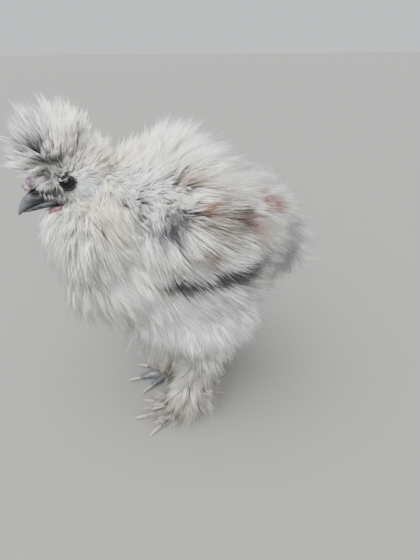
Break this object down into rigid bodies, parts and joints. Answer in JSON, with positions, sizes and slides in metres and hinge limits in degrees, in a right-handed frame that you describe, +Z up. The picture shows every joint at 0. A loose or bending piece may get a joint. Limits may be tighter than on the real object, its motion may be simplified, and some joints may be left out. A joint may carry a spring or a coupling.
{
  "type": "silkie chicken",
  "caption": "Life-size standing silkie chicken with a full crest, short dark bill, drawn-in neck, rounded body, soft hanging tail and feathered feet.",
  "frame": {"origin": "middle of the bird's bounding box, on the ground under its feet", "axes": "+Z up, -X the way the bird faces, -Y the bird's left side"},
  "size_m": [0.2136, 0.165, 0.2537],
  "materials": {
    "plumage_body": "soft, hair-like pale grey feathers",
    "plumage_neck": "soft, hair-like cream-white feathers",
    "plumage_head": "short, soft grey feathers",
    "plumage_crest": "soft feathers in white, grey and near black",
    "plumage_wing": "soft grey feathers with brown and dark smudges",
    "plumage_tail": "soft blue-grey feathers",
    "plumage_thigh": "soft white fluff",
    "plumage_foot": "soiled cream-grey feathers",
    "toe_skin": "dull slate-grey scales",
    "claw": "satin pale horn",
    "beak": "satin dark slate horn with a paler tip",
    "comb_skin": "matt mauve",
    "wattle_skin": "matt pinkish red",
    "earlobe_skin": "matt pale blue-grey",
    "eye": "glossy near black"
  },
  "bodies": {
    "root": {"eye_left": "eye", "eye_right": "eye", "head": "plumage_head", "beak_lower": "beak", "beak_upper": "beak", "comb": "comb_skin", "wattle_left": "wattle_skin", "wattle_right": "wattle_skin", "earlobe_left": "earlobe_skin", "earlobe_right": "earlobe_skin", "crest": "plumage_crest", "neck": "plumage_neck", "wing_left": "plumage_wing", "wing_right": "plumage_wing", "thigh_left": "plumage_thigh", "thigh_right": "plumage_thigh", "torso": "plumage_body", "tail": "plumage_tail", "shank_left": "plumage_foot", "shank_right": "plumage_foot", "toe_middle_left": "toe_skin", "toe_middle_right": "toe_skin", "toe_outer_left": "toe_skin", "toe_outer_right": "toe_skin", "toe_inner_left": "toe_skin", "toe_inner_right": "toe_skin", "toe_hind_left": "toe_skin", "toe_hind_right": "toe_skin", "toe_extra_left": "toe_skin", "toe_extra_right": "toe_skin", "claw_middle_left": "claw", "claw_middle_right": "claw", "claw_outer_left": "claw", "claw_outer_right": "claw", "claw_inner_left": "claw", "claw_inner_right": "claw", "claw_hind_left": "claw", "claw_hind_right": "claw", "claw_extra_left": "claw", "claw_extra_right": "claw"}
  },
  "joints": []
}
